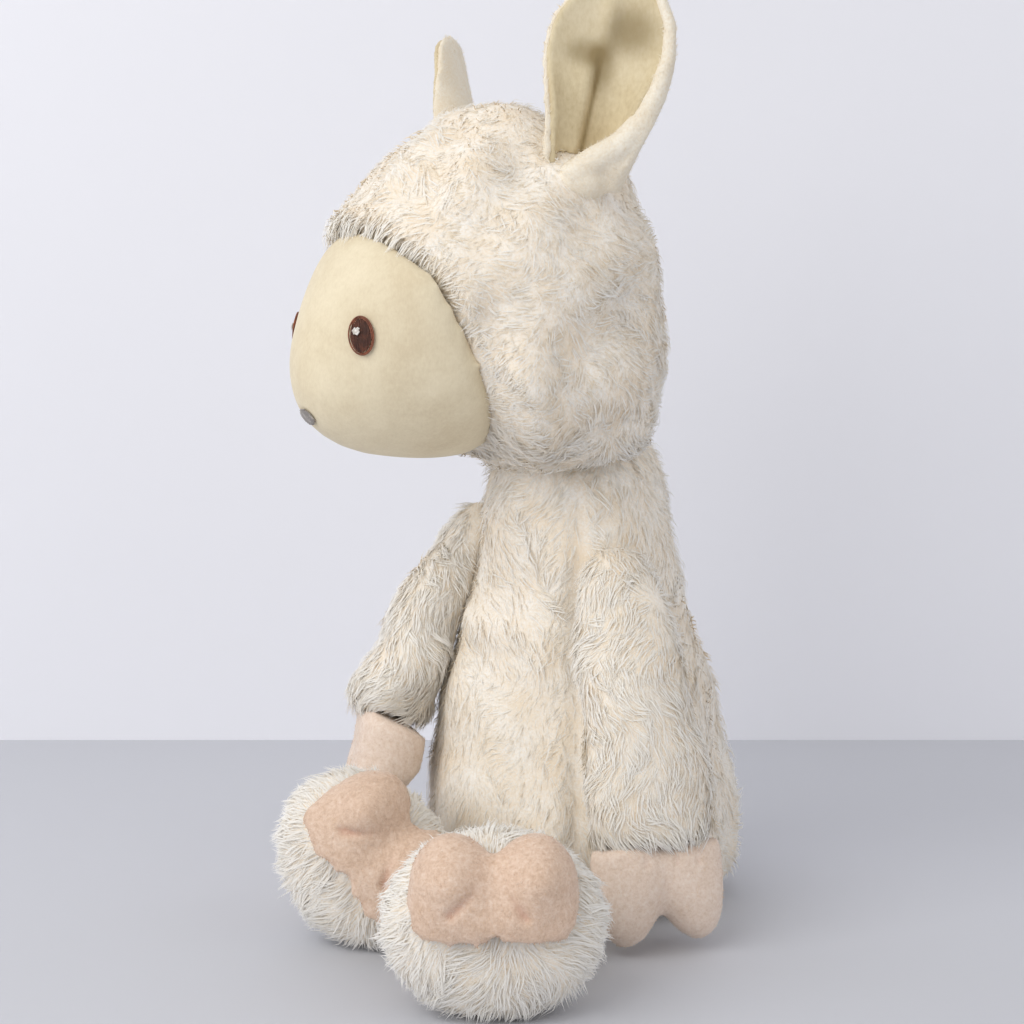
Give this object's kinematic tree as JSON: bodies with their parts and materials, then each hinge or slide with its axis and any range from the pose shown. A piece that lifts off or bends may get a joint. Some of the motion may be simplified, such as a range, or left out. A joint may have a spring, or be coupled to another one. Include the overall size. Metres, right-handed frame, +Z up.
{
  "type": "plush llama",
  "caption": "Sitting plush llama with a round fur head turned to one side, smooth stuffed face, rolled leaf ears, cloven hands and big feet with two-toed soles",
  "frame": {"origin": "the centre of the torso's flat seat, on the surface that the toy sits on", "axes": "+Z up, the torso faces -Y, the toy's left is +X"},
  "size_m": [0.2244, 0.2738, 0.4094],
  "materials": {
    "fur": "long cream plush fur, combed in clumps",
    "velour": "short-pile cream velour",
    "lining": "short-pile warm cream ear lining",
    "peach_velour": "short-pile peach velour",
    "eye_thread": "dark brown satin-stitch embroidery",
    "rim_thread": "brown outline stitch",
    "glint_thread": "white embroidery",
    "nose_thread": "grey embroidery"
  },
  "bodies": {
    "root": {"arm_left": "fur", "arm_right": "fur", "ear_back_left": "velour", "ear_back_right": "velour", "ear_lining_left": "lining", "ear_lining_right": "lining", "eye_glint_left": "glint_thread", "eye_glint_right": "glint_thread", "eye_left": "eye_thread", "eye_right": "eye_thread", "eye_rim_left": "rim_thread", "eye_rim_right": "rim_thread", "face": "velour", "foot_left": "fur", "foot_right": "fur", "hand_left": "peach_velour", "hand_right": "peach_velour", "head": "fur", "leg_left": "fur", "leg_right": "fur", "nose": "nose_thread", "sole_left": "peach_velour", "sole_right": "peach_velour", "torso": "fur"}
  },
  "joints": []
}
